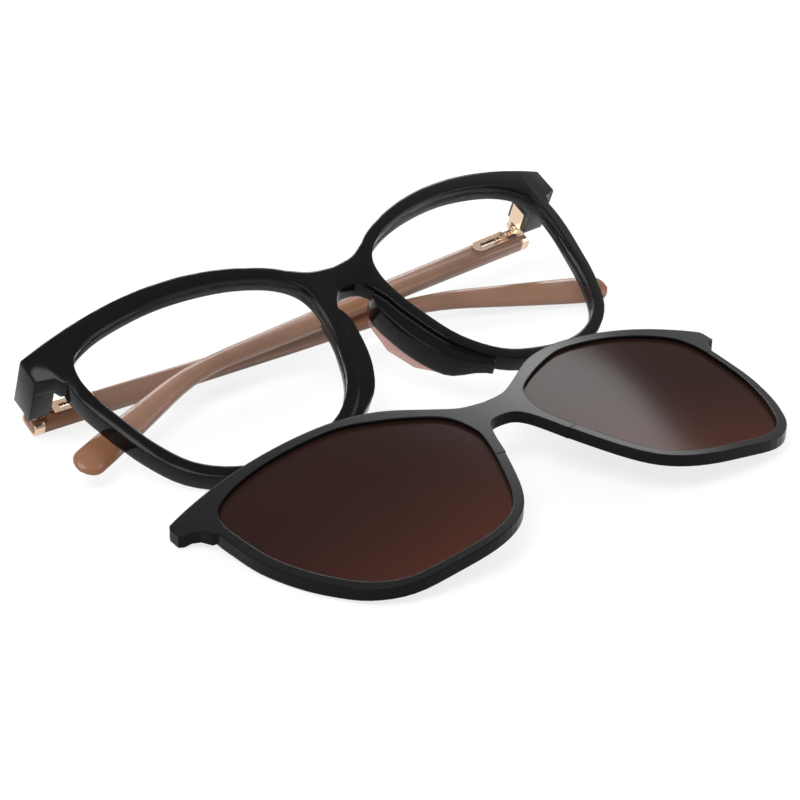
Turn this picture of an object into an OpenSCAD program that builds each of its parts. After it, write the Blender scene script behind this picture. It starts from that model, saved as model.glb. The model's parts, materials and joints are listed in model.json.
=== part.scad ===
// Optical frame with a separate clip-on sunglass front.
// The frame rests on its folded temples, and the clip-on lies in front of it.
// Each front is drawn in its own plane: X to the right, Y towards the brow, Z out of the face.
// Left and right are those of a viewer in front of the glasses.

/* [Lenses and bridge] */
// Boxed width of one lens
lens_w = 54; // [50:0.5:56]
// Boxed height of one lens
lens_h = 49.2; // [46:0.2:52]
// Distance between the two lenses at the bridge
bridge_w = 16; // [15:0.5:19]
// Thickness of a demo lens
lens_t = 1.8; // [1.5:0.1:2.2]
// Depth of the groove that holds a lens
groove_d = 0.5; // [0.3:0.1:0.8]
// Width of the groove that holds a lens
groove_w = 0.8; // [0.6:0.1:1.2]
// How far a demo lens sits behind the front surface
lens_set = 1.2; // [1:0.1:1.6]

/* [Optical front] */
// Radius of the wrap of the front surface
wrap_r = 230; // [200:5:320]
// Thickness of the rims
front_t = 4.2; // [3.8:0.1:5]
// Width of the rims around the lens openings
rim_w = 2.7; // [2.4:0.1:3.4]
// Height of the brow above a lens opening
brow_w = 4.1; // [3.4:0.1:5]
// Height of the top of the bridge above the middle of the lenses
bridge_top = 13; // [12:0.5:14.5]
// Height of the arch under the bridge above the middle of the lenses
bridge_arch = 7; // [5.5:0.5:8]
// Half width of the front over the end pieces
half_w = 69; // [68:0.5:72]
// Height of an end piece on its outer face
end_h = 6.4; // [6:0.2:7]
// Depth of an end piece behind the front's corner
end_d = 12.4; // [11:0.2:14]
// Width of an end piece where it meets the temple
end_w = 5.2; // [4.8:0.2:6]
// Radius of the fillet between an end piece and its rim
end_fillet = 3; // [2:0.2:3.6]

/* [Nose pads] */
// How far the nose side of a rim flares towards the nose at its back
flare_w = 2.6; // [2:0.2:3]
// Depth of the flare behind the rim
flare_d = 2.4; // [1.6:0.2:3]
// Height of a nose pad behind the flare
pad_d = 3.6; // [3:0.2:5]
// Thickness of a nose pad at its edge
pad_t = 2.4; // [2:0.1:2.8]

/* [Temples] */
// Length of a temple from its hinge to its tip, measured straight
temple_l = 138; // [132:1:144]
// Height of a temple at the hinge
temple_h = 5.5; // [5.2:0.1:6]
// Thickness of a temple at the hinge
temple_t = 3.4; // [3.2:0.1:3.6]
// Height of a temple where the bend starts
neck_h = 3.9; // [3.6:0.1:4.6]
// Thickness of a temple from its middle to the tip
neck_t = 2.7; // [2.5:0.1:3]
// Height of the tip
tip_h = 7.2; // [6:0.2:8]
// Distance from the hinge to the start of the bend
bend_at = 86; // [80:1:90]
// Angle of the bend behind the ear
bend_angle = 19; // [14:1:26]
// Radius of the bend
bend_r = 65; // [50:5:80]
// Downward slope of the temples from the hinge
droop = 4.5; // [4:0.1:6]
// Inward slope of the tips towards the head
tip_turn = 5; // [0:0.5:5.5]
// Angle by which the right temple folds past the front
fold_right = 4.9; // [4.6:0.1:5.4]
// Angle by which the left temple folds past the front
fold_left = 0.6; // [0:0.1:0.6]
// Width of the metal band on the hinge end
band_w = 2.6; // [2:0.2:3.2]

/* [Spring hinge] */
// Radius of the hinge screw
screw_r = 0.6; // [0.5:0.05:0.7]
// Radius of the hinge knuckles
knuckle_r = 1.25; // [1.2:0.05:1.4]
// Height of the middle knuckle
knuckle_h = 1.5; // [1.4:0.1:1.7]
// Height of each outer knuckle
outer_h = 1; // [0.9:0.05:1.1]
// Distance from the hinge axis to the inner face of the temple
axis_off = 1; // [0.9:0.05:1.1]
// Distance from the hinge axis to the end of the temple
axis_end = 2.4; // [2.2:0.1:2.8]
// Thickness of the hinge leaf on an end piece
leaf_t = 0.9; // [0.7:0.1:1]
// Length of the spring housing
housing_l = 10; // [9.5:0.5:12]
// Height of the spring housing
housing_h = 3.2; // [3:0.1:3.4]
// Depth of the spring housing
housing_d = 2.4; // [2.3:0.1:2.5]
// How far the housing stands proud of the temple
housing_proud = 0.4; // [0.2:0.1:0.5]
// Travel of the spring hinge
flex_travel = 1.5; // [1:0.1:1.8]
// Radius of the slider's tail
tail_r = 0.36; // [0.32:0.02:0.4]
// Radius of the spring's wire
wire_r = 0.13; // [0.1:0.01:0.14]
// Number of coils in the spring
coils = 7; // [5:1:9]

/* [Core wires and magnets] */
// Radius of the wire inside a temple
core_r = 0.5; // [0.4:0.05:0.6]
// Length of the wire inside a temple
core_l = 70; // [50:5:72]
// Radius of the magnets in the frame and the clip-on
magnet_r = 1.4; // [1.2:0.1:1.5]
// Thickness of the magnets
magnet_t = 1.2; // [1:0.1:1.3]

/* [Clip-on] */
// Thickness of the clip-on
clip_t = 2.6; // [2.4:0.1:3.2]
// Width of the clip-on's rims
clip_rim_w = 2.1; // [1.8:0.1:2.4]
// Height of the clip-on's brow above its lens openings
clip_brow_w = 2.9; // [2.4:0.1:3.4]
// Growth of the clip-on's lens openings over the frame's
clip_grow = 0.5; // [0.2:0.1:0.8]
// Thickness of a tinted lens
tint_t = 1; // [0.8:0.1:1.2]
// How far a tinted lens sits behind the clip-on's front surface
tint_set = 0.8; // [0.6:0.1:0.9]
// How far a tab of the clip-on reaches past the end of the front
tab_over = 0.8; // [0.4:0.1:1.2]
// Height of a tab on its outer edge
tab_h = 4.8; // [4.4:0.2:5.4]

/* [Resting place] */
// Tilt of the optical front over its folded temples
front_tilt = 26.35; // [25:0.05:28]
// Sideways roll of the optical frame onto the tip of its left temple
front_roll = 2.54; // [1:0.02:4]
// Height of the middle of the optical front above the table
front_z = 20.92; // [20.8:0.01:24]
// Tilt of the clip-on
clip_tilt = 5.54; // [4:0.02:8]
// Height of the middle of the clip-on above the table
clip_z = 11.48; // [11.2:0.01:14]
// Distance from the middle of the clip-on back to the middle of the front
clip_gap_y = 51.3; // [51:0.1:60]
// Distance of the front sideways from the clip-on
clip_gap_x = -1.7; // [-4:0.1:4]
// Distance from the middle of the clip-on back to the origin
origin_y = 29.89; // [0:0.01:60]
// Distance from the middle of the clip-on sideways to the origin
origin_x = -0.68; // [-10:0.01:10]

/* [Hidden] */

acetate = "#141416";
clip_black = "#1b1b1c";
brown = "#a5776a";
gold = "#d8b98c";
steel = "#c9c2bd";
clear = "#dfe3e4";
tint = "#4a2a24";
pad_clear = "#d9c9c6";

// Radial running clearance of the screws and the tails
run_gap = 0.03;
// Clearance between the faces of different bodies
body_gap = 0.3;
// Overlap of shapes that are joined into one solid
join = 0.2;

// Points of a smooth curve through a list of points
function knot(p, i, closed) = closed ? p[(i + len(p)) % len(p)] : p[max(0, min(len(p) - 1, i))];
function between(a, b, c, d, t) = 0.5 * ((2 * b) + (c - a) * t + (2 * a - 5 * b + 4 * c - d) * t * t
    + (3 * b - a - 3 * c + d) * t * t * t);
function curve(p, n, closed = false) = [
    for (i = [0:len(p) - (closed ? 1 : 2)]) for (s = [0:n - 1])
        between(knot(p, i - 1, closed), knot(p, i, closed), knot(p, i + 1, closed),
            knot(p, i + 2, closed), s / n),
    if (!closed) p[len(p) - 1]];

// A closed outline moved outwards along its own normals
function grow(p, d) = [for (i = [0:len(p) - 1])
    let (e = knot(p, i + 1, true) - knot(p, i - 1, true))
    p[i] + d * [e[1], -e[0]] / norm(e)];

// Depth of a wrapped surface of radius r at a distance x from its middle
function sag(x, r) = r - sqrt(r * r - x * x);

// The lens opening, as shares of its width and height, from the nose over the bottom
lens_form = [[-0.5, 0.15], [-0.491, 0.03], [-0.452, -0.125], [-0.38, -0.305], [-0.255, -0.44],
    [-0.1, -0.492], [0.07, -0.498], [0.215, -0.44], [0.335, -0.325], [0.41, -0.155], [0.455, 0.02],
    [0.49, 0.19], [0.495, 0.32], [0.463, 0.41], [0.372, 0.462], [0.24, 0.484], [0.06, 0.484],
    [-0.115, 0.454], [-0.27, 0.405], [-0.4, 0.334], [-0.475, 0.25]];
open_w = lens_w - 2 * groove_d;
open_h = lens_h - 2 * groove_d;
lens_x = (bridge_w + lens_w) / 2;
lens_line = curve([for (p = lens_form) [lens_x + p[0] * open_w, p[1] * open_h]], 4, true);
lens_top = 0.485 * open_h;
nose_x = lens_x - open_w / 2;

// How far the front's outline stays inside the end pieces
end_skin = 0.1;
// Top edge of the front from the bridge to the end piece
brow_line = curve([[0, bridge_top], [0.079 * half_w, bridge_top + 0.9],
    [0.154 * half_w, bridge_top + 3.9], [0.278 * half_w, lens_top - 1.4],
    [0.415 * half_w, lens_top + 0.45 * brow_w], [0.545 * half_w, lens_top + 0.86 * brow_w],
    [0.674 * half_w, lens_top + brow_w], [0.804 * half_w, lens_top + 0.92 * brow_w],
    [0.92 * half_w, lens_top + 0.7 * brow_w], [half_w - end_skin, lens_top + 0.48 * brow_w]], 4);
end_top = lens_top + 0.48 * brow_w;
end_bottom = end_top - end_h;
// Edge from the arch under the bridge down to the nose side of a rim
arch_line = curve([[0, bridge_arch], [0.28 * nose_x, bridge_arch - 0.3],
    [0.5 * nose_x, bridge_arch - 1.8], [0.7 * nose_x, bridge_arch - 5.2],
    [0.95 * nose_x, bridge_arch - 11.4]], 4);

// Places of the end pieces and the hinges
corner_z = -sag(half_w, wrap_r);
end_back = corner_z - end_d;
end_x = half_w - end_w;
axis_x = half_w - temple_t - axis_off;
axis_y = end_bottom + 3.4;
axis_z = end_back - axis_end;
magnet_x = half_w - 2.1;
magnet_y = end_bottom + 2.4;

// Places of the clip-on
clip_half_w = half_w + tab_over;
clip_r = wrap_r + clip_t + body_gap;
// The clip-on's opening, fuller at its lower outer corner than the front's
clip_form = [[-0.5, 0.125], [-0.491, 0.0349], [-0.444, -0.115], [-0.359, -0.324], [-0.275, -0.434],
    [-0.144, -0.49], [0.0347, -0.5], [0.194, -0.484], [0.307, -0.404], [0.386, -0.274],
    [0.442, -0.135], [0.483, 0.025], [0.498, 0.185], [0.5, 0.324], [0.457, 0.42], [0.344, 0.474],
    [0.194, 0.5], [0.0253, 0.5], [-0.125, 0.478], [-0.256, 0.414], [-0.369, 0.342],
    [-0.466, 0.254]];
clip_open_w = open_w + 2 * clip_grow;
clip_open_h = open_h + 2 * clip_grow;
clip_line = curve([for (p = clip_form) [lens_x + p[0] * clip_open_w, p[1] * clip_open_h]], 4, true);
clip_top = 0.495 * clip_open_h;
clip_brow = curve([[0, bridge_top], [0.079 * clip_half_w, bridge_top + 0.9],
    [0.154 * clip_half_w, bridge_top + 4.1], [0.274 * clip_half_w, clip_top - 1.5],
    [0.4 * clip_half_w, clip_top + 0.55 * clip_brow_w],
    [0.53 * clip_half_w, clip_top + 0.95 * clip_brow_w], [0.67 * clip_half_w, clip_top + clip_brow_w],
    [0.79 * clip_half_w, clip_top + 0.78 * clip_brow_w],
    [0.92 * clip_half_w, clip_top + 0.25 * clip_brow_w], [clip_half_w - 0.4, clip_top - 0.6]], 4);
tab_bottom = clip_top - 0.6 - tab_h;

// Placement of the optical front, the clip-on and the hinges
module on_front() {
    translate([clip_gap_x - origin_x, clip_gap_y - origin_y, front_z])
        rotate([0, -front_roll, 0]) rotate([front_tilt, 0, 0]) children();
}

module on_clip() {
    translate([-origin_x, -origin_y, clip_z]) rotate([clip_tilt, 0, 0]) children();
}

// Left hinge, with X along the folded temple, Y along the axis and Z towards the front
module at_hinge(side, fold) {
    on_front() mirror([side > 0 ? 1 : 0, 0, 0])
        translate([-axis_x, axis_y, axis_z]) rotate([0, -fold, 0]) children();
}

// A layer between two heights over a wrapped surface of radius r
module layer(r, top, bottom) {
    translate([0, 0, -r]) rotate([90, 0, 0]) difference() {
        cylinder(r = r + top, h = 120, center = true, $fn = 180);
        cylinder(r = r + bottom, h = 130, center = true, $fn = 180);
    }
}

// A flat outline as a plate that follows that surface
module bent(r, top, bottom) {
    intersection() {
        translate([0, 0, -30]) linear_extrude(40) children();
        layer(r, top, bottom);
    }
}

module both() {
    children();
    mirror([1, 0, 0]) children();
}

// Half outline of a front from its brow and arch lines, with the tail end at x, y
module half_outline(brow, bottom, arch, rim) {
    polygon(concat([[-join, brow[0][1]]], brow, bottom, [for (i = [len(arch) - 1:-1:0]) arch[i]],
        [[-join, arch[0][1]]]));
    polygon(rim);
}

// Optical front
module front_outline() {
    both() half_outline(brow_line,
        [[half_w - end_skin, end_bottom + end_skin], [half_w - 1, end_bottom - 0.3], [half_w - 3.6, end_bottom - 1.4],
        [half_w - 4.4, end_bottom - 3.4], [lens_x, 0]],
        arch_line, grow(lens_line, rim_w));
}

module end_piece() {
    back = -sag(end_x, wrap_r) - front_t;
    translate([0, end_top, 0]) rotate([90, 0, 0]) linear_extrude(end_h) difference() {
        polygon([[end_x - end_fillet, back + join], [half_w, corner_z - 0.4], [half_w, end_back],
            [end_x, end_back], [end_x, back - end_fillet], [end_x - end_fillet, back - end_fillet]]);
        translate([end_x - end_fillet, back - end_fillet]) circle(end_fillet, $fn = 48);
    }
}

// Nose side of a rim behind its front surface, which carries a nose pad
flare_z = -sag(lens_x, wrap_r) - front_t - flare_d + 1.6;
flare_line = curve([[nose_x - 3.2, bridge_arch - 2], [nose_x - 2.1 - flare_w, bridge_arch - 6],
    [nose_x - 1.2 - flare_w, bridge_arch - 13], [nose_x + 1 - flare_w, bridge_arch - 20],
    [nose_x + 5.2 - flare_w, bridge_arch - 26.5], [nose_x + 9.5, bridge_arch - 31]], 4);
module flare() {
    translate([0, 0, flare_z]) linear_extrude(-flare_z - 1.6) difference() {
        polygon(concat(flare_line, [[lens_x, 0]]));
        polygon(grow(lens_line, rim_w * 0.5));
    }
}

module nose_pad() {
    color(pad_clear) intersection() {
        hull() {
            translate([nose_x - 4, bridge_arch - 6, flare_z - 0.3]) sphere(pad_t / 2, $fn = 24);
            translate([nose_x - 2.9, bridge_arch - 12, flare_z - pad_d + pad_t / 2])
                sphere(pad_t / 2, $fn = 24);
            translate([nose_x - 0.4, bridge_arch - 18, flare_z - pad_d + pad_t / 2])
                sphere(pad_t / 2, $fn = 24);
            translate([nose_x + 2, bridge_arch - 22.5, flare_z - 0.3]) sphere(pad_t / 2, $fn = 24);
        }
        translate([-50, -50, flare_z - 20]) cube([100, 100, 20]);
    }
}

groove_top = -lens_set - (lens_t - groove_w) / 2;
module front_frame() {
    color(acetate) on_front() difference() {
        union() {
            bent(wrap_r, 0, -front_t) front_outline();
            both() end_piece();
            both() flare();
        }
        both() bent(wrap_r, 1, -front_t - 8) polygon(lens_line);
        both() bent(wrap_r, groove_top, groove_top - groove_w) polygon(grow(lens_line, groove_d));
        both() frame_magnet();
        both() leaf_seat();
    }
}

module demo_lens() {
    color(clear) {
        bent(wrap_r, -lens_set, -lens_set - lens_t) polygon(lens_line);
        bent(wrap_r, groove_top, groove_top - groove_w) polygon(grow(lens_line, groove_d));
    }
}

// Front hinges, drawn about the left hinge's axis
seat_h = knuckle_h + 2 * outer_h + 0.6;
leaf_l = 5;
module leaf_seat() {
    translate([-axis_x + knuckle_r - leaf_t, axis_y - seat_h / 2, axis_z + axis_end - join])
        cube([leaf_t, seat_h, leaf_l + join]);
}

module hinge_ring(h, y) {
    translate([0, y, 0]) rotate([90, 0, 0]) difference() {
        cylinder(r = knuckle_r, h = h, center = true, $fn = 48);
        cylinder(r = screw_r + run_gap, h = h + 1, center = true, $fn = 48);
    }
}

outer_y = (knuckle_h + outer_h) / 2 + 0.05;
module front_hinge() {
    color(gold) {
        translate([knuckle_r - leaf_t, -seat_h / 2, axis_end])
            cube([leaf_t, seat_h, leaf_l]);
        for (y = [-outer_y, outer_y]) difference() {
            union() {
                hinge_ring(outer_h, y);
                translate([knuckle_r - leaf_t, y - outer_h / 2, 0])
                    cube([leaf_t, outer_h, axis_end + join]);
            }
            rotate([90, 0, 0]) cylinder(r = screw_r + run_gap, h = 9, center = true, $fn = 48);
        }
    }
}

screw_head_r = 1;
screw_head_h = 0.45;
module hinge_screw() {
    top = outer_y + outer_h / 2;
    color(steel) difference() {
        rotate([-90, 0, 0]) union() {
            translate([0, 0, -top]) cylinder(r = screw_r, h = 2 * top + 0.1, $fn = 48);
            translate([0, 0, top]) cylinder(r = screw_head_r, h = screw_head_h, $fn = 48);
        }
        translate([0, top + screw_head_h, 0]) cube([0.25, 0.4, 3], center = true);
    }
}

// Slider, spring and housing, drawn along the temple
housing_x = 3.3;
chamber_r = 0.85;
chamber_x = housing_x + 1;
chamber_end = housing_x + housing_l - 0.8;
stop_t = 0.7;
stop_x = chamber_end - 0.2 - stop_t;
tail_z = housing_proud - axis_off - housing_d / 2;
slide_gap = 0.15;

module slope() {
    rotate([0, 0, -droop]) children();
}

module rod_x(r, x0, x1) {
    translate([x0, 0, tail_z]) rotate([0, 90, 0]) cylinder(r = r, h = x1 - x0, $fn = 48);
}

module hinge_slider() {
    arm_y = knuckle_h - 0.5;
    color(gold) difference() {
        union() {
            hinge_ring(knuckle_h, 0);
            slope() {
                translate([0, -arm_y / 2, tail_z - 0.6]) cube([housing_x - body_gap, arm_y, 1.7]);
                rod_x(tail_r, housing_x - 1, stop_x + stop_t);
            }
        }
        rotate([90, 0, 0]) cylinder(r = screw_r + run_gap, h = 9, center = true, $fn = 48);
    }
}

module spring_stop() {
    color(steel) slope() difference() {
        rod_x(chamber_r - 0.15, stop_x, stop_x + stop_t);
        rod_x(tail_r, stop_x - 1, stop_x + stop_t + 1);
    }
}

// A round wire wound about the tail, drawn as long as the fully flexed spring
module hinge_spring() {
    coil_r = chamber_r - 0.12 - wire_r;
    x0 = chamber_x + flex_travel + 0.1 + wire_r;
    x1 = stop_x - wire_r;
    turn_steps = 10;
    sides = 6;
    steps = coils * turn_steps;
    rings = [for (i = [0:steps]) let (a = 360 * i / turn_steps) [for (j = [0:sides - 1])
        let (b = -360 * j / sides, r = coil_r + wire_r * cos(b))
        [x0 + (x1 - x0) * i / steps + wire_r * sin(b), r * cos(a), tail_z + r * sin(a)]]];
    color(steel) slope() tube(rings);
}

// A closed skin over a list of rings with equal numbers of points
module tube(rings) {
    n = len(rings[0]);
    last = len(rings) - 1;
    points = [for (ring = rings) for (p = ring) p];
    sides = [for (i = [0:last - 1]) for (j = [0:n - 1]) let (k = (j + 1) % n)
        [i * n + j, (i + 1) * n + j, (i + 1) * n + k, i * n + k]];
    polyhedron(points, concat([[for (j = [0:n - 1]) j]], sides,
        [[for (j = [n - 1:-1:0]) last * n + j]]), convexity = 6);
}

module housing_body(grown = 0) {
    translate([0, 0, tail_z - housing_d / 2]) linear_extrude(housing_d + grown) {
        translate([housing_x, -housing_h / 2]) square([housing_l - housing_h / 2, housing_h]);
        translate([housing_x + housing_l - housing_h / 2, 0]) circle(housing_h / 2, $fn = 48);
    }
}

module spring_housing() {
    color(gold) slope() difference() {
        housing_body();
        rod_x(chamber_r, chamber_x, chamber_end);
        rod_x(tail_r + run_gap, housing_x - 1, chamber_x + join);
        translate([chamber_x + 0.6, -0.45, tail_z]) cube([chamber_end - chamber_x - 2, 0.9, 3]);
    }
}

// Temples, drawn along the droop from the left hinge
temple_y = 1.85 - temple_h / 2;
temple_z = -axis_off - temple_t / 2;
bend_l = bend_r * bend_angle * PI / 180;
bend_x = bend_at + bend_r * sin(bend_angle);
tip_r = tip_h / 2;
tip_l = bend_at + bend_l + (temple_l - bend_x) / cos(bend_angle);
// Height and thickness of a temple at a length l along it
function height_at(l) = lookup(l, [[0, temple_h], [0.65 * bend_at, temple_h - 0.3],
    [bend_at + 4, neck_h], [bend_at + 14, neck_h + 0.5], [tip_l - 4 * tip_r, tip_h - 0.5],
    [tip_l - 2 * tip_r, tip_h]]);
function thick_at(l) = lookup(l, [[0, temple_t], [0.6 * bend_at, neck_t]]);
function turn_at(l) = let (d = max(0, l - bend_at)) tan(tip_turn) * (sqrt(d * d + 225) - 15);
function angle_at(l) = max(0, min(1, (l - bend_at) / bend_l)) * bend_angle;
function middle_at(l) = let (a = angle_at(l), d = max(0, l - bend_at - bend_l))
    [min(l, bend_at) + bend_r * sin(a) + d * cos(a), temple_y - bend_r * (1 - cos(a)) - d * sin(a),
    temple_z + turn_at(l)];
function power(v, e) = sign(v) * pow(abs(v), e);
// Rounded section, with corners that get rounder as e grows from 0 to 1
function section(h, t, e) = [for (j = [0:15]) let (b = 360 * j / 16)
    [h / 2 * power(cos(b), e), t / 2 * power(sin(b), e)]];
function station(l, k) = let (m = middle_at(l), a = angle_at(l),
    e = lookup(l, [[0, 0.5], [bend_at, 0.65], [tip_l, 0.8]]))
    [for (p = section(k * height_at(l), max(k, 0.3) * thick_at(l), e))
        [m[0] + p[0] * sin(a), m[1] + p[0] * cos(a), m[2] + p[1]]];

module temple_blank() {
    tube(concat([for (l = [-4:6:bend_at]) station(l, 1)],
        [for (l = [bend_at:3.5:tip_l - tip_r - 1]) station(l, 1)],
        [for (b = [0:15:75]) station(tip_l - tip_r * (1 - sin(b)), cos(b))],
        [station(tip_l, 0.06)]));
}

// Room for the knuckles, which stay behind while the temple flexes away from them
module knuckle_room() {
    hull() for (x = [0, -flex_travel]) translate([x, 0, 0]) rotate([90, 0, 0])
        cylinder(r = knuckle_r + body_gap, h = seat_h + 1.2, center = true, $fn = 48);
    slope() translate([-flex_travel - 1, -knuckle_h / 2 - slide_gap, tail_z - 0.6 - slide_gap])
        cube([housing_x + flex_travel + 1 + join, knuckle_h + 2 * slide_gap, 4]);
    translate([-axis_end + 0.1 - 10, -20, -20]) cube([10, 40, 40]);
}

core_x = housing_x + housing_l + 1;
module core_bore() {
    translate([core_x, temple_y, temple_z]) rotate([0, 90, 0]) cylinder(r = core_r, h = core_l, $fn = 24);
}

module band_ring() {
    translate([-axis_end - 1, temple_y, temple_z]) rotate([90, 0, 90]) linear_extrude(band_w + 1)
        difference() {
            polygon(section(temple_h + 0.3, temple_t + 0.3, 0.5));
            polygon(section(temple_h - 0.8, temple_t - 0.8, 0.5));
        }
}

module temple() {
    color(brown) difference() {
        slope() difference() {
            temple_blank();
            housing_body(6);
            core_bore();
            band_ring();
        }
        knuckle_room();
    }
}

module end_band() {
    color(gold) difference() {
        slope() intersection() {
            band_ring();
            translate([-axis_end - 2, temple_y, temple_z]) rotate([90, 0, 90])
                linear_extrude(band_w + 4) polygon(section(temple_h + 0.1, temple_t + 0.1, 0.5));
        }
        knuckle_room();
    }
}

module core_wire() {
    color(steel) slope() core_bore();
}

// Magnets, square to the wrapped surface
magnet_a = asin(magnet_x / wrap_r);
module magnet(r, depth, room = 0) {
    translate([0, 0, -r]) rotate([0, magnet_a, 0])
        translate([0, magnet_y, r - depth - magnet_t - room])
            cylinder(r = magnet_r, h = magnet_t + room, $fn = 48);
}

module frame_magnet() {
    magnet(wrap_r, 0.5);
}

module clip_magnet(room = 0) {
    magnet(clip_r, clip_t - magnet_t, room);
}

// Clip-on
seat_d = 0.7;
module clip_outline() {
    both() half_outline(clip_brow,
        [[clip_half_w, clip_top - 1.5], [clip_half_w, tab_bottom + 0.9],
        [clip_half_w - 0.9, tab_bottom], [clip_half_w - 2.4, tab_bottom - 0.3],
        [clip_half_w - 3.8, tab_bottom - 1.5], [clip_half_w - 4.8, tab_bottom - 4], [lens_x, 0]],
        arch_line, grow(clip_line, clip_rim_w));
}

module clip_frame() {
    color(clip_black) on_clip() difference() {
        bent(clip_r, 0, -clip_t) clip_outline();
        both() bent(clip_r, 1, -clip_t - 1) polygon(clip_line);
        both() bent(clip_r, -tint_set, -tint_set - tint_t) polygon(grow(clip_line, seat_d));
        both() clip_magnet(1);
    }
}

module clip_lens() {
    color(tint)
        bent(clip_r, -tint_set, -tint_set - tint_t) polygon(grow(clip_line, seat_d));
}

// Every piece in its place
module front_pair(side) {
    on_front() mirror([side < 0 ? 1 : 0, 0, 0]) children();
}

module clip_pair(side) {
    on_clip() mirror([side < 0 ? 1 : 0, 0, 0]) children();
}

left = -1;
right = 1;
front_frame();
front_pair(left) demo_lens();  // demo_lens_left
front_pair(right) demo_lens();  // demo_lens_right
front_pair(left) nose_pad();  // nose_pad_left
front_pair(right) nose_pad();  // nose_pad_right
front_pair(left) color(steel) frame_magnet();  // frame_magnet_left
front_pair(right) color(steel) frame_magnet();  // frame_magnet_right
at_hinge(left, 0) front_hinge();  // front_hinge_left
at_hinge(right, 0) front_hinge();  // front_hinge_right
at_hinge(left, 0) hinge_screw();  // hinge_screw_left
at_hinge(right, 0) hinge_screw();  // hinge_screw_right
at_hinge(left, fold_left) hinge_slider();  // hinge_slider_left
at_hinge(right, fold_right) hinge_slider();  // hinge_slider_right
at_hinge(left, fold_left) spring_stop();  // spring_stop_left
at_hinge(right, fold_right) spring_stop();  // spring_stop_right
at_hinge(left, fold_left) hinge_spring();  // hinge_spring_left
at_hinge(right, fold_right) hinge_spring();  // hinge_spring_right
at_hinge(left, fold_left) spring_housing();  // spring_housing_left
at_hinge(right, fold_right) spring_housing();  // spring_housing_right
at_hinge(left, fold_left) temple();  // temple_left
at_hinge(right, fold_right) temple();  // temple_right
at_hinge(left, fold_left) end_band();  // end_band_left
at_hinge(right, fold_right) end_band();  // end_band_right
at_hinge(left, fold_left) core_wire();  // core_wire_left
at_hinge(right, fold_right) core_wire();  // core_wire_right
clip_frame();
clip_pair(left) clip_lens();  // clip_lens_left
clip_pair(right) clip_lens();  // clip_lens_right
clip_pair(left) color(steel) clip_magnet();  // clip_magnet_left
clip_pair(right) color(steel) clip_magnet();  // clip_magnet_right
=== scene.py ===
import bpy
import json
import math
from mathutils import Matrix, Vector

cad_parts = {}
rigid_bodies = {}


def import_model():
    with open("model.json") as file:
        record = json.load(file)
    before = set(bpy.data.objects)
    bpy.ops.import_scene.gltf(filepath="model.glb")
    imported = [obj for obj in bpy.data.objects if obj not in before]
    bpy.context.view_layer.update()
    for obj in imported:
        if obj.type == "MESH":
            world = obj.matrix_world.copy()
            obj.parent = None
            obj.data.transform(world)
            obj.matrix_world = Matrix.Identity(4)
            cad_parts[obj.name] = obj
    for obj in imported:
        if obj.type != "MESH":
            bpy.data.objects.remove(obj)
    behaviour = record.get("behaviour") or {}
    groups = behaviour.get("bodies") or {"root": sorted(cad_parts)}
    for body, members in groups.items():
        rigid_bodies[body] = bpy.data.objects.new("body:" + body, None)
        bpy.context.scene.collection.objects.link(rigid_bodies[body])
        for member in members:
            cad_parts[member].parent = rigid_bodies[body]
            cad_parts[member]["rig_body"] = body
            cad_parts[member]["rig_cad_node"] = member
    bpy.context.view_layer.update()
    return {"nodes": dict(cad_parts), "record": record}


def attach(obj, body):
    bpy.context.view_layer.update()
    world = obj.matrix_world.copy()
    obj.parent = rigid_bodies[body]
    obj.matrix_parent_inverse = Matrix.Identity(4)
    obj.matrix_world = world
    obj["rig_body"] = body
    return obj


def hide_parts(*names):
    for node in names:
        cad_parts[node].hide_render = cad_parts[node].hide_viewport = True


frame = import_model()
print("stage: frame loaded")

scene = bpy.context.scene
nodes = frame["nodes"]


def newMaterial(name):
    material = bpy.data.materials.new(name)
    material.use_nodes = True
    tree = material.node_tree
    tree.nodes.clear()
    output = tree.nodes.new("ShaderNodeOutputMaterial")
    return material, tree, output


def addNode(tree, kind, **values):
    node = tree.nodes.new(kind)
    for key, value in values.items():
        node.inputs[key.replace("_", " ")].default_value = value
    return node


# Normal of an edge that is rounded over, for every material with an "edge"
bevelSamples = 6
edgeGroup = bpy.data.node_groups.new("rounded_edge", "ShaderNodeTree")
edgeGroup.interface.new_socket("Radius", in_out="INPUT", socket_type="NodeSocketFloat")
edgeGroup.interface.new_socket("Normal", in_out="OUTPUT", socket_type="NodeSocketVector")
edgeIn = edgeGroup.nodes.new("NodeGroupInput")
edgeOut = edgeGroup.nodes.new("NodeGroupOutput")
edgeBevel = edgeGroup.nodes.new("ShaderNodeBevel")
edgeBevel.samples = bevelSamples
edgeGroup.links.new(edgeIn.outputs["Radius"], edgeBevel.inputs["Radius"])
edgeGroup.links.new(edgeBevel.outputs["Normal"], edgeOut.inputs["Normal"])


def roundedNormal(tree, radius):
    edge = tree.nodes.new("ShaderNodeGroup")
    edge.node_tree = edgeGroup
    edge.inputs["Radius"].default_value = radius
    return edge.outputs["Normal"]


plasticIor = 1.49


def shinyMaterial(name, look):
    material, tree, output = newMaterial(name)
    shader = addNode(tree, "ShaderNodeBsdfPrincipled", Metallic=look.get("metallic", 0.0),
                     Roughness=look["roughness"], IOR=plasticIor)
    shader.inputs["Base Color"].default_value = (*look["color"], 1)
    shader.inputs["Specular IOR Level"].default_value = look.get("specular", 0.5)
    if look.get("edge"):
        tree.links.new(roundedNormal(tree, look["edge"]), shader.inputs["Normal"])
    tree.links.new(shader.outputs[0], output.inputs["Surface"])
    return material


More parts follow.
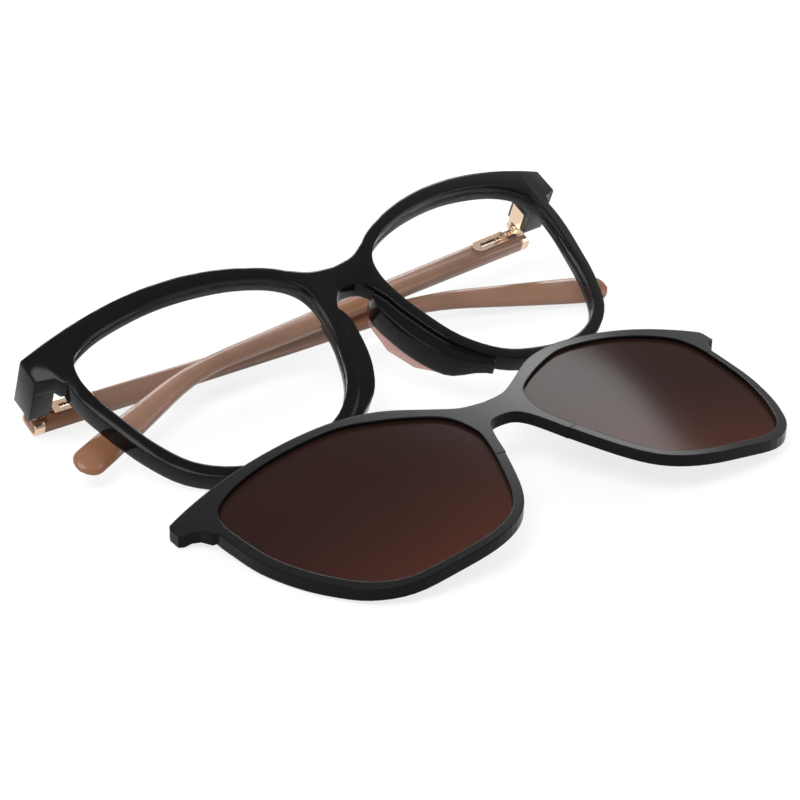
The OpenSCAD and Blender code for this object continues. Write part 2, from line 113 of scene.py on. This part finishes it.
# A colour that goes from "bottom" at a Y of "low" to "top" at a Y of "high"
def gradedTint(tree, look):
    place = tree.nodes.new("ShaderNodeTexCoord")
    split = tree.nodes.new("ShaderNodeSeparateXYZ")
    ramp = tree.nodes.new("ShaderNodeMapRange")
    ramp.inputs["From Min"].default_value = look["low"]
    ramp.inputs["From Max"].default_value = look["high"]
    tint = tree.nodes.new("ShaderNodeMix")
    tint.data_type = "RGBA"
    tint.inputs["A"].default_value = (*look["bottom"], 1)
    tint.inputs["B"].default_value = (*look["top"], 1)
    tree.links.new(place.outputs["Object"], split.inputs[0])
    tree.links.new(split.outputs["Y"], ramp.inputs["Value"])
    tree.links.new(ramp.outputs[0], tint.inputs["Factor"])
    return tint.outputs["Result"]


# A clear lens or pad, which reflects more where it is seen from the side
edgeOnPower = 4.0


def lensMaterial(name, look):
    material, tree, output = newMaterial(name)
    clear = tree.nodes.new("ShaderNodeBsdfTransparent")
    body = addNode(tree, "ShaderNodeBsdfDiffuse", Roughness=0.0)
    body.inputs["Color"].default_value = (*look["haze"], 1)
    inside = tree.nodes.new("ShaderNodeMixShader")
    inside.inputs[0].default_value = look["hazeShare"]
    gloss = addNode(tree, "ShaderNodeBsdfGlossy", Roughness=look["roughness"])
    facing = addNode(tree, "ShaderNodeLayerWeight", Blend=0.5)
    steep = tree.nodes.new("ShaderNodeMath")
    steep.operation = "POWER"
    steep.inputs[1].default_value = edgeOnPower
    share = tree.nodes.new("ShaderNodeMath")
    share.operation = "MULTIPLY_ADD"
    share.inputs[1].default_value = look["edgeShine"]
    share.inputs[2].default_value = look["shine"]
    mixed = tree.nodes.new("ShaderNodeMixShader")
    link = tree.links.new
    if "color" in look:
        clear.inputs["Color"].default_value = (*look["color"], 1)
    else:
        link(gradedTint(tree, look), clear.inputs["Color"])
    link(clear.outputs[0], inside.inputs[1])
    link(body.outputs[0], inside.inputs[2])
    link(facing.outputs["Facing"], steep.inputs[0])
    link(steep.outputs[0], share.inputs[0])
    link(share.outputs[0], mixed.inputs[0])
    link(inside.outputs[0], mixed.inputs[1])
    link(gloss.outputs[0], mixed.inputs[2])
    link(mixed.outputs[0], output.inputs["Surface"])
    return material


def templeMaterial(name, look):
    material, tree, output = newMaterial(name)
    place = tree.nodes.new("ShaderNodeTexCoord")
    noise = addNode(tree, "ShaderNodeTexNoise", Scale=look["scale"], Detail=3.0, Distortion=1.2)
    tint = tree.nodes.new("ShaderNodeMix")
    tint.data_type = "RGBA"
    tint.inputs["A"].default_value = (*look["dark"], 1)
    tint.inputs["B"].default_value = (*look["light"], 1)
    shader = addNode(tree, "ShaderNodeBsdfPrincipled", Roughness=look["roughness"],
                     IOR=plasticIor)
    shader.inputs["Specular IOR Level"].default_value = look["specular"]
    link = tree.links.new
    link(place.outputs["Object"], noise.inputs["Vector"])
    link(noise.outputs["Fac"], tint.inputs["Factor"])
    link(tint.outputs["Result"], shader.inputs["Base Color"])
    link(roundedNormal(tree, look["edge"]), shader.inputs["Normal"])
    link(shader.outputs[0], output.inputs["Surface"])
    return material


# Looks of the pieces
looks = {
    "acetate": {"color": (0.003, 0.003, 0.003), "roughness": 0.12, "specular": 0.12,
                "edge": 0.0006},
    "clipBlack": {"color": (0.004, 0.004, 0.004), "roughness": 0.26, "specular": 0.08,
                  "edge": 0.0004},
    "gold": {"color": (0.8, 0.58, 0.42), "metallic": 1.0, "roughness": 0.16, "edge": 0.0002},
    "steel": {"color": (0.62, 0.6, 0.58), "metallic": 1.0, "roughness": 0.25},
    "temple": {"dark": (0.155, 0.068, 0.035), "light": (0.24, 0.11, 0.06), "scale": 45.0,
               "roughness": 0.28, "specular": 0.25, "edge": 0.0006},
}
clearLook = {"low": -0.01, "high": 0.05,
             "bottom": (0.985, 0.99, 0.99), "top": (0.98, 0.985, 0.985),
             "haze": (0.9, 0.92, 0.92), "hazeShare": 0.01,
             "shine": 0.012, "edgeShine": 0.12, "roughness": 0.02}
tintLook = {"low": -0.062, "high": -0.02,
            "bottom": (0.4, 0.2, 0.15), "top": (0.055, 0.02, 0.016),
            "haze": (0.05, 0.02, 0.015), "hazeShare": 0.3,
            "shine": 0.012, "edgeShine": 0.08, "roughness": 0.16}
padLook = {"color": (0.8, 0.62, 0.58), "haze": (0.5, 0.36, 0.33), "hazeShare": 0.3,
           "shine": 0.03, "edgeShine": 0.3, "roughness": 0.02}
acetate = shinyMaterial("glossy_black", looks["acetate"])
clipBlack = shinyMaterial("satin_black", looks["clipBlack"])
gold = shinyMaterial("rose_gold", looks["gold"])
steel = shinyMaterial("bright_steel", looks["steel"])
coffee = templeMaterial("coffee_brown", looks["temple"])
clearLens = lensMaterial("clear_lens", clearLook)
brownLens = lensMaterial("brown_tint", tintLook)
padClear = lensMaterial("pad_clear", padLook)

dress = {
    "front_frame": acetate, "clip_frame": clipBlack, "demo_lens": clearLens, "clip_lens": brownLens,
    "nose_pad": padClear, "temple": coffee, "end_band": gold, "spring_housing": gold,
    "front_hinge": gold, "hinge_slider": gold,
}
for name, piece in nodes.items():
    found = [look for start, look in dress.items() if name.startswith(start)]
    piece.data.materials.clear()
    piece.data.materials.append(found[0] if found else steel)
print("stage: looks given")

# Softened pieces: the CAD piece with its sharp edges rounded over
softPieces = {
    "front_frame": {"edge": 0.00045, "name": "front_polished", "slot": "black_acetate"},
    "temple_left": {"edge": 0.0003, "name": "temple_left_polished", "slot": "brown_acetate"},
    "temple_right": {"edge": 0.0003, "name": "temple_right_polished", "slot": "brown_acetate"},
}
sharpAngle = math.radians(35)
flatAngle = math.radians(1.2)
mergeDistance = 2e-6
roundingSteps = 3
bodies = frame["record"]["behaviour"]["bodies"]
bodyOf = {node: body for body, names in bodies.items() for node in names}

# The front's own frame, in which its outline was drawn
frontPose = {"tilt": math.radians(26.35), "roll": math.radians(-2.54),
             "place": Vector((-0.00102, 0.02141, 0.02092))}
# The ledges under the nose pads. "wrap" is the radius of the front's curve and "depth"
# its thickness. A ledge thins out from "start" to "end", measured from the middle.
noseFlare = {"wrap": 0.23, "depth": 0.0042, "top": -0.01, "start": 0.009, "end": 0.0165,
             "outer": 0.022, "minDepth": 0.0002, "leftOver": 0.00005}


def fadeNoseFlare(piece):
    roll = Matrix.Rotation(frontPose["roll"], 4, "Y")
    tilt = Matrix.Rotation(frontPose["tilt"], 4, "X")
    place = Matrix.Translation(frontPose["place"]) @ roll @ tilt
    back = place.inverted()
    wrap, depth = noseFlare["wrap"], noseFlare["depth"]
    start, end = noseFlare["start"], noseFlare["end"]
    for vertex in piece.data.vertices:
        spot = back @ vertex.co
        rimBack = math.sqrt(wrap ** 2 - spot.x ** 2) - wrap - depth
        inFlare = start < abs(spot.x) < noseFlare["outer"] and spot.y < noseFlare["top"]
        if inFlare and spot.z < rimBack - noseFlare["minDepth"]:
            share = min(1.0, (abs(spot.x) - start) / (end - start))
            share = share * share * (3 - 2 * share)
            spot.z += (rimBack - noseFlare["leftOver"] - spot.z) * share
            vertex.co = place @ spot


def softened(nodeName, look):
    source = nodes[nodeName]
    bpy.ops.object.select_all(action="DESELECT")
    source.select_set(True)
    bpy.context.view_layer.objects.active = source
    bpy.ops.object.duplicate()
    piece = bpy.context.object
    piece.name = look["name"]
    piece.parent = None
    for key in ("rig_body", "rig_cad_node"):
        del piece[key]
    bpy.ops.object.mode_set(mode="EDIT")
    bpy.ops.mesh.select_all(action="SELECT")
    bpy.ops.mesh.remove_doubles(threshold=mergeDistance)
    bpy.ops.object.mode_set(mode="OBJECT")
    if nodeName == "front_frame":
        fadeNoseFlare(piece)
    bpy.ops.object.mode_set(mode="EDIT")
    bpy.ops.mesh.dissolve_limited(angle_limit=flatAngle)
    bpy.ops.object.mode_set(mode="OBJECT")
    rounding = piece.modifiers.new("rounding", "BEVEL")
    rounding.width = look["edge"]
    rounding.segments = roundingSteps
    rounding.limit_method = "ANGLE"
    rounding.angle_limit = sharpAngle
    bpy.ops.object.modifier_apply(modifier="rounding")
    bpy.ops.object.shade_smooth_by_angle(angle=sharpAngle)
    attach(piece, bodyOf[nodeName])
    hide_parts(nodeName)


for nodeName, look in softPieces.items():
    softened(nodeName, look)
print("stage: edges rounded")

# Floor: the camera, metal and glass see it as plain white with a soft shadow
floorSize = 6
floorLevel = -0.0004
floorColor = (0.86, 0.86, 0.86, 1)
shadowShare = 0.2
bpy.ops.object.select_all(action="DESELECT")
bpy.ops.mesh.primitive_plane_add(size=floorSize, location=(0, 0, floorLevel))
floor = bpy.context.object
floor.name = "floor"
floorLook, floorTree, floorOut = newMaterial("floor_white")
seen = addNode(floorTree, "ShaderNodeEmission", Strength=1.0)
matte = floorTree.nodes.new("ShaderNodeBsdfDiffuse")
matte.inputs["Color"].default_value = floorColor
seenMatte = floorTree.nodes.new("ShaderNodeMixShader")
seenMatte.inputs[0].default_value = shadowShare
floorTree.links.new(seen.outputs[0], seenMatte.inputs[1])
floorTree.links.new(matte.outputs[0], seenMatte.inputs[2])
path = floorTree.nodes.new("ShaderNodeLightPath")
choice = floorTree.nodes.new("ShaderNodeMixShader")
shownTo = path.outputs["Is Camera Ray"]
for ray in ("Is Glossy Ray", "Is Transmission Ray"):
    either = floorTree.nodes.new("ShaderNodeMath")
    either.operation = "MAXIMUM"
    floorTree.links.new(shownTo, either.inputs[0])
    floorTree.links.new(path.outputs[ray], either.inputs[1])
    shownTo = either.outputs[0]
floorTree.links.new(shownTo, choice.inputs[0])
floorTree.links.new(matte.outputs[0], choice.inputs[1])
floorTree.links.new(seenMatte.outputs[0], choice.inputs[2])
floorTree.links.new(choice.outputs[0], floorOut.inputs["Surface"])
floor.data.materials.append(floorLook)

worldStrength = 0.62
world = bpy.data.worlds.new("studio")
scene.world = world
world.use_nodes = True
sky = world.node_tree.nodes["Background"]
sky.inputs["Color"].default_value = (1, 1, 1, 1)
sky.inputs["Strength"].default_value = worldStrength

# Soft boxes, all aimed at the middle: name, place, width, length, power
softBoxes = [
    ("key", (-0.5, -0.2, 0.9), 0.6, 0.6, 9),
    ("back", (0.35, 0.75, 0.5), 0.9, 0.25, 7),
    ("side", (0.8, -0.3, 0.4), 0.3, 0.6, 3),
]
for name, place, width, length, power in softBoxes:
    light = bpy.data.lights.new(name, "AREA")
    light.shape = "RECTANGLE"
    light.size = width
    light.size_y = length
    light.energy = power
    lamp = bpy.data.objects.new(name, light)
    scene.collection.objects.link(lamp)
    lamp.location = place
    lamp.rotation_euler = (-Vector(place)).to_track_quat("-Z", "Y").to_euler()

# Camera at the photograph's angle
cameraPlace = Vector((-0.31032, -0.42469, 0.2685))
cameraForward = Vector((0.5189, 0.7299, -0.445)).normalized()
cameraRight = Vector((0.8053, -0.592, -0.0319)).normalized()
cameraUp = cameraRight.cross(cameraForward)
lensLength = 126
cameraData = bpy.data.cameras.new("camera")
cameraData.sensor_width = 36
cameraData.lens = lensLength
cameraData.clip_start = 0.01
camera = bpy.data.objects.new("camera", cameraData)
scene.collection.objects.link(camera)
turn = Matrix((cameraRight, cameraUp, -cameraForward)).transposed().to_4x4()
camera.matrix_world = Matrix.Translation(cameraPlace) @ turn
scene.camera = camera
scene.view_settings.view_transform = "Standard"
print("stage: studio ready")
